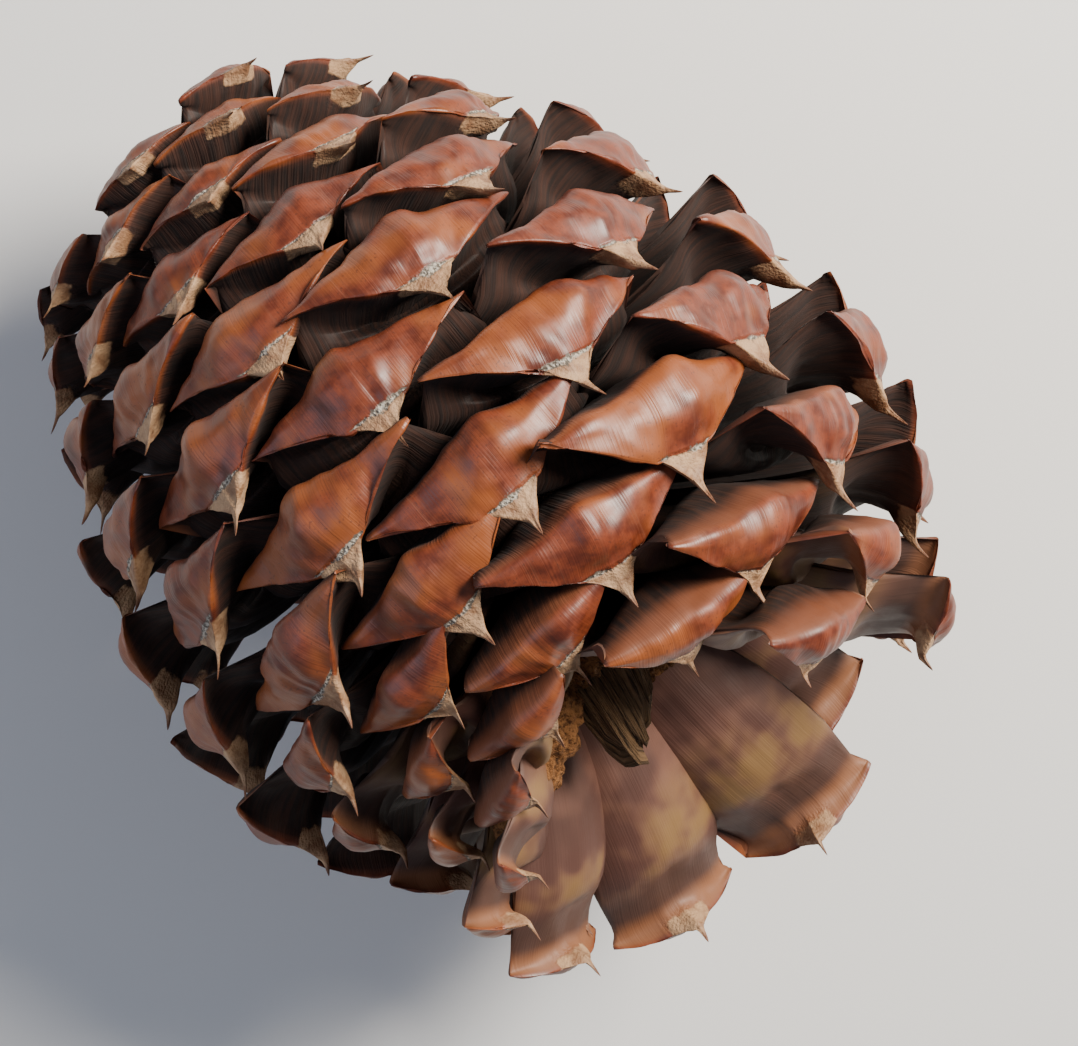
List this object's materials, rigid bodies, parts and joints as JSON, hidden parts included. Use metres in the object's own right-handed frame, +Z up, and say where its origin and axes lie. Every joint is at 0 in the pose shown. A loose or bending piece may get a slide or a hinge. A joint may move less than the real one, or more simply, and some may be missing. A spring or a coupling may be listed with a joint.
{
  "type": "pine cone",
  "caption": "Large open woody pine cone lying on its side, with spiralling prickled scales round a central axis and a broken stalk in the hollow of its base.",
  "frame": {"origin": "centre of the bounding box at the level of the surface the cone lies on", "axes": "+Z up from the surface; the base end with the stalk points to +X and -Y, the tip to -X and +Y"},
  "size_m": [0.1266, 0.1292, 0.1051],
  "materials": {
    "axis_wood": "rough dark brown axis, ending in a torn, fibrous broken stalk",
    "scale_wood": "polished red-brown woody scales with straw-coloured umbos and sharp prickles"
  },
  "bodies": {
    "root": {"axis_with_stalk": "axis_wood", "base_scales": "scale_wood", "shoulder_scales": "scale_wood", "tip_scales": "scale_wood", "scale_18": "scale_wood", "scale_19": "scale_wood", "scale_20": "scale_wood", "scale_21": "scale_wood", "scale_22": "scale_wood", "scale_23": "scale_wood", "scale_24": "scale_wood", "scale_25": "scale_wood", "scale_26": "scale_wood", "scale_27": "scale_wood", "scale_28": "scale_wood", "scale_29": "scale_wood", "scale_30": "scale_wood", "scale_31": "scale_wood", "scale_32": "scale_wood", "scale_33": "scale_wood", "scale_34": "scale_wood", "scale_35": "scale_wood", "scale_36": "scale_wood", "scale_37": "scale_wood", "scale_38": "scale_wood", "scale_39": "scale_wood", "scale_40": "scale_wood", "scale_41": "scale_wood", "scale_42": "scale_wood", "scale_43": "scale_wood", "scale_44": "scale_wood", "scale_45": "scale_wood", "scale_46": "scale_wood", "scale_47": "scale_wood", "scale_48": "scale_wood", "scale_49": "scale_wood", "scale_50": "scale_wood", "scale_51": "scale_wood", "scale_52": "scale_wood", "scale_53": "scale_wood", "scale_54": "scale_wood", "scale_55": "scale_wood", "scale_56": "scale_wood", "scale_57": "scale_wood", "scale_58": "scale_wood", "scale_59": "scale_wood", "scale_60": "scale_wood", "scale_61": "scale_wood", "scale_62": "scale_wood", "scale_63": "scale_wood", "scale_64": "scale_wood", "scale_65": "scale_wood", "scale_66": "scale_wood", "scale_67": "scale_wood", "scale_68": "scale_wood", "scale_69": "scale_wood", "scale_70": "scale_wood", "scale_71": "scale_wood", "scale_72": "scale_wood"}
  },
  "joints": []
}
